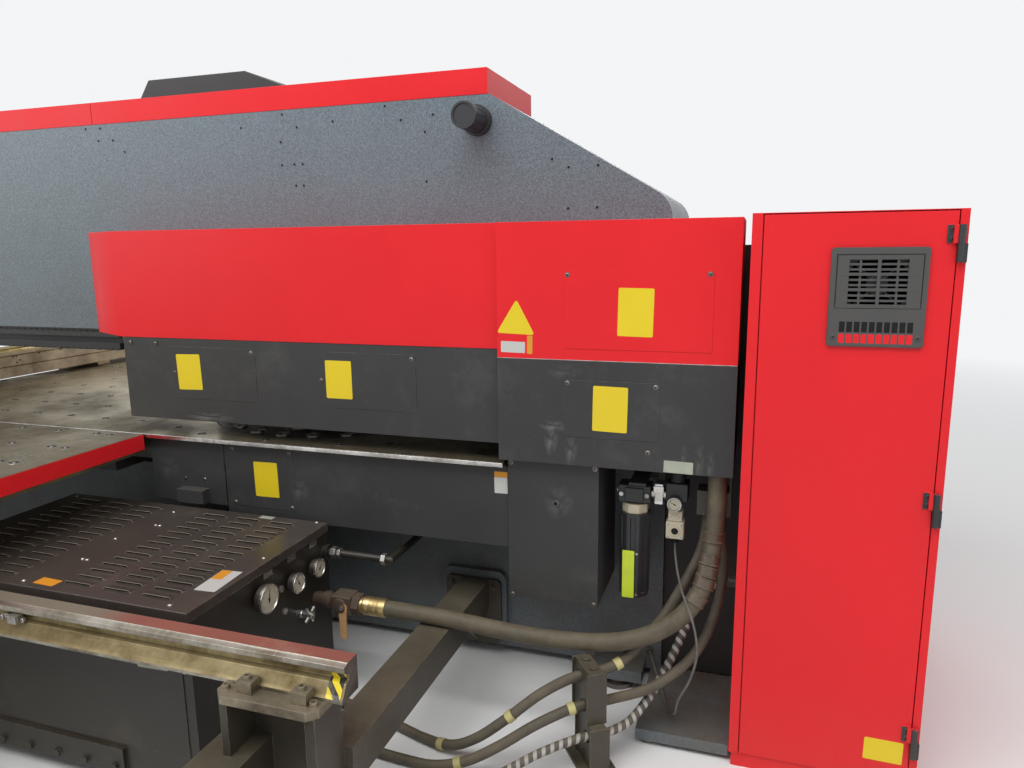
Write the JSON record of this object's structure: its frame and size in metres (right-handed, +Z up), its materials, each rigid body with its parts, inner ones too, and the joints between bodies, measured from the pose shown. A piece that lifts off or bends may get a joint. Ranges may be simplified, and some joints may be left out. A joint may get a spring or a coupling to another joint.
{
  "type": "cnc turret punch press",
  "caption": "Sheet metal punch press: bridge frame over a ball table, turret and ram behind red covers, travelling clamp beam, louvred power unit and red cabinet.",
  "frame": {"origin": "on the floor, midway along the machine's overall length, in the frame's middle plane", "axes": "+X along the frame towards the cabinet, +Y across the tables away from the power unit, +Z up"},
  "size_m": [5.846, 5.1, 2.464],
  "materials": {
    "red_paint": "glossy red enamel",
    "frame_paint": "dark blue-black paint, dusty low down",
    "cover_paint": "dark grey textured paint with scuffs",
    "tank_paint": "brown-black dusty paint",
    "tan_paint": "worn tan coating",
    "table_steel": "worn scratched plate",
    "bright_steel": "bright worn steel",
    "dark_steel": "oiled dark steel",
    "tool_steel": "ground tool steel",
    "rail_steel": "rolled rail with a bright head",
    "brass": "dull brass",
    "pale_cast": "pale cast body, dusty",
    "black_plastic": "dark grey matte",
    "hose_rubber": "dusty brown-grey rubber",
    "cable_rubber": "dark rubber sheath"
  },
  "bodies": {
    "frame": {"bridge_frame": "frame_paint", "roof_covers": "red_paint", "ram_cover": "cover_paint", "breather": "black_plastic", "levelling_pads": "dark_steel", "turret_cover_near_red": "red_paint", "turret_cover_near_dark": "cover_paint", "turret_cover_far_red": "red_paint", "turret_cover_far_dark": "cover_paint", "drive_cover_red": "red_paint", "drive_cover_dark": "cover_paint", "cover_hatches": "cover_paint", "side_panels": "cover_paint", "pillar_cover": "cover_paint", "table_bed": "frame_paint", "centre_table": "table_steel", "edge_strips": "bright_steel", "centre_balls": "bright_steel", "turret_posts": "dark_steel", "cable_chain": "black_plastic", "feed_rails": "rail_steel", "rail_seats": "frame_paint", "support_arms_near": "frame_paint", "support_arms_far": "frame_paint", "power_tank": "tank_paint", "power_lid": "tank_paint", "pressure_gauges": "tool_steel", "shutoff_valve": "brass", "air_filter": "black_plastic", "air_regulator": "tool_steel", "pressure_switch": "pale_cast", "hose_clamps": "frame_paint", "main_hose": "hose_rubber", "switch_cable": "cable_rubber", "floor_hose_1": "hose_rubber", "floor_hose_2": "hose_rubber", "floor_hose_3": "cable_rubber", "cabinet_body": "red_paint", "cabinet_hinges": "black_plastic"},
    "feed": {"feed_beam": "table_steel", "beam_guides": "bright_steel", "side_table_near": "table_steel", "side_table_far": "table_steel", "side_fascias": "red_paint", "side_balls": "bright_steel"},
    "carriage": {"clamp_carriage": "dark_steel", "clamp_bodies": "dark_steel"},
    "jaws": {"clamp_jaws": "tool_steel"},
    "ram_slide": {"ram": "bright_steel"},
    "turret_top": {"upper_turret": "dark_steel", "punch_set": "tool_steel"},
    "turret_base": {"lower_turret": "dark_steel", "die_set": "tool_steel"},
    "wheel_near": {"roller_near": "bright_steel"},
    "wheel_far": {"roller_far": "bright_steel"},
    "lever": {"shutoff_lever": "tan_paint"},
    "vent": {"vent_handle": "bright_steel"},
    "door": {"cabinet_door": "red_paint", "filter_fan": "black_plastic"},
    "fan": {"fan_wheel": "black_plastic"}
  },
  "joints": [
    {"name": "table_feed", "type": "slide", "parent": "frame", "child": "feed", "axis": [1, 0, 0], "range_m": [0, 1.27]},
    {"name": "clamp_traverse", "type": "slide", "parent": "feed", "child": "carriage", "axis": [0, 1, 0], "range_m": [0, 2.5]},
    {"name": "clamp_jaws", "type": "hinge", "parent": "carriage", "child": "jaws", "pos_m": [-1.62, 0, 0.99], "axis": [0, -1, 0], "range_deg": [0, 8]},
    {"name": "turret_turn", "type": "hinge", "parent": "frame", "child": "turret_top", "pos_m": [0.545, 0, 1.08], "axis": [0, 0, 1], "continuous": true},
    {"name": "turret_base_turn", "type": "hinge", "parent": "frame", "child": "turret_base", "pos_m": [0.545, 0, 0.88], "axis": [0, 0, 1], "continuous": true},
    {"name": "ram_stroke", "type": "slide", "parent": "frame", "child": "ram_slide", "axis": [0, 0, -1], "range_m": [0, 0.045]},
    {"name": "roller_near_spin", "type": "hinge", "parent": "feed", "child": "wheel_near", "pos_m": [-0.095, -1.524, 0.6853], "axis": [0, 1, 0], "range_deg": [0, 1620]},
    {"name": "roller_far_spin", "type": "hinge", "parent": "feed", "child": "wheel_far", "pos_m": [-0.095, 1.524, 0.6853], "axis": [0, 1, 0], "range_deg": [0, 1620]},
    {"name": "shutoff_lever", "type": "hinge", "parent": "frame", "child": "lever", "pos_m": [0.975, -0.835, 0.385], "axis": [0, -1, 0], "range_deg": [0, 90]},
    {"name": "vent_handle", "type": "hinge", "parent": "frame", "child": "vent", "pos_m": [0.88, -0.914, 0.38], "axis": [1, 0, 0], "range_deg": [0, 720]},
    {"name": "cabinet_door", "type": "hinge", "parent": "frame", "child": "door", "pos_m": [2.906, -0.7895, 0.9], "axis": [0, 0, 1], "range_deg": [0, 120]},
    {"name": "fan_spin", "type": "hinge", "parent": "door", "child": "fan", "pos_m": [2.7115, -0.733, 1.584], "axis": [0, 1, 0], "continuous": true}
  ],
  "couplings": [
    {"joint": "turret_base_turn", "follows": "turret_turn", "ratio": 1},
    {"joint": "roller_near_spin", "follows": "table_feed", "rad_per_m": 22.222},
    {"joint": "roller_far_spin", "follows": "table_feed", "rad_per_m": 22.222}
  ]
}
